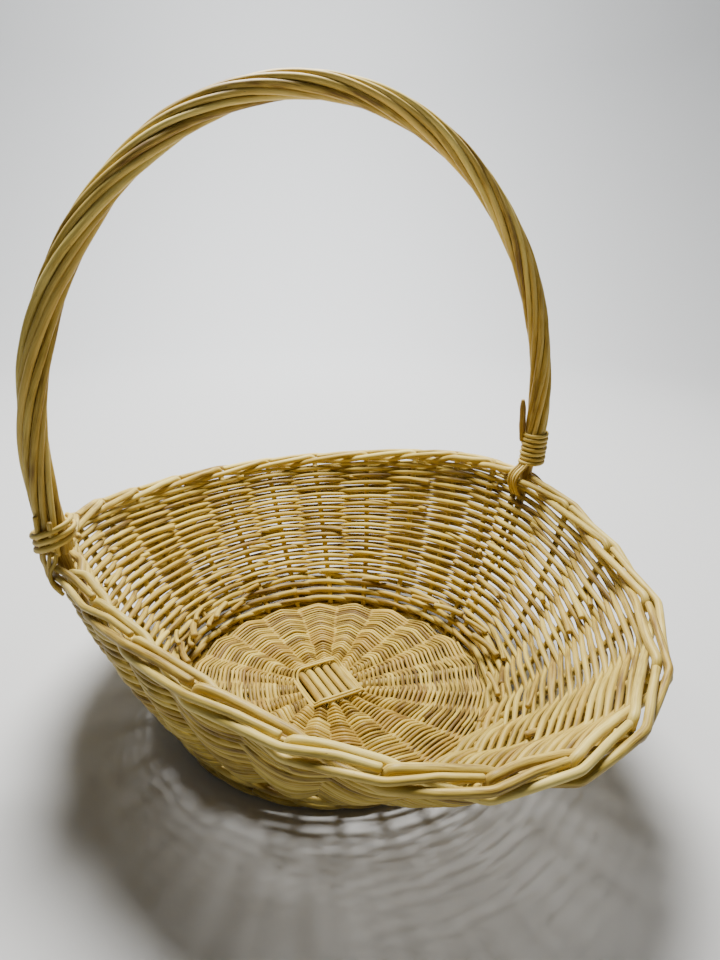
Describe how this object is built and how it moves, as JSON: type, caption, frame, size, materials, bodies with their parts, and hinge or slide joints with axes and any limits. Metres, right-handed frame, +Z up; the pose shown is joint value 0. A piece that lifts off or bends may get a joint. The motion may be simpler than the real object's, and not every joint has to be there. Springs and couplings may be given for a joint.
{
  "type": "woven market basket",
  "caption": "Boat-shaped woven willow market basket with a round base, a thick rolled border and a fixed, roped overhead bow handle.",
  "frame": {"origin": "on the surface the basket stands on, in the handle plane's foot line, at the crossing of the handle plane and the bowl's long centre line", "axes": "+Z up, +X along the handle's span towards the leg with the long binding, +Y along the bowl towards its rounder end; the pointed, wider end is at -Y"},
  "size_m": [0.4304, 0.506, 0.4654],
  "materials": {
    "willow_stick": "dry peeled willow, satin sheen on the round faces",
    "willow_weaver": "dry peeled willow, satin sheen on the round faces",
    "willow_waling": "dry peeled willow, satin sheen on the round faces",
    "willow_border": "dry peeled willow, satin sheen on the round faces",
    "willow_bow": "dry peeled willow, satin sheen on the round faces",
    "willow_handle": "dry peeled willow, satin sheen on the round faces"
  },
  "bodies": {
    "root": {"base_sticks_under": "willow_stick", "base_sticks_over": "willow_stick", "slath_tie": "willow_weaver", "base_pairing": "willow_weaver", "stakes_right": "willow_border", "stakes_back": "willow_border", "stakes_left": "willow_border", "stakes_front": "willow_border", "upsett_wale": "willow_waling", "upsett_butts": "willow_waling", "siding_lower": "willow_weaver", "siding_middle": "willow_weaver", "siding_upper": "willow_weaver", "handle_bow": "willow_bow", "handle_rope_rods": "willow_handle", "left_binding": "willow_handle", "right_binding": "willow_handle", "left_rope_tails": "willow_handle", "right_rope_tails": "willow_handle", "right_broken_stub": "willow_handle", "left_stub_ends": "willow_handle"}
  },
  "joints": []
}
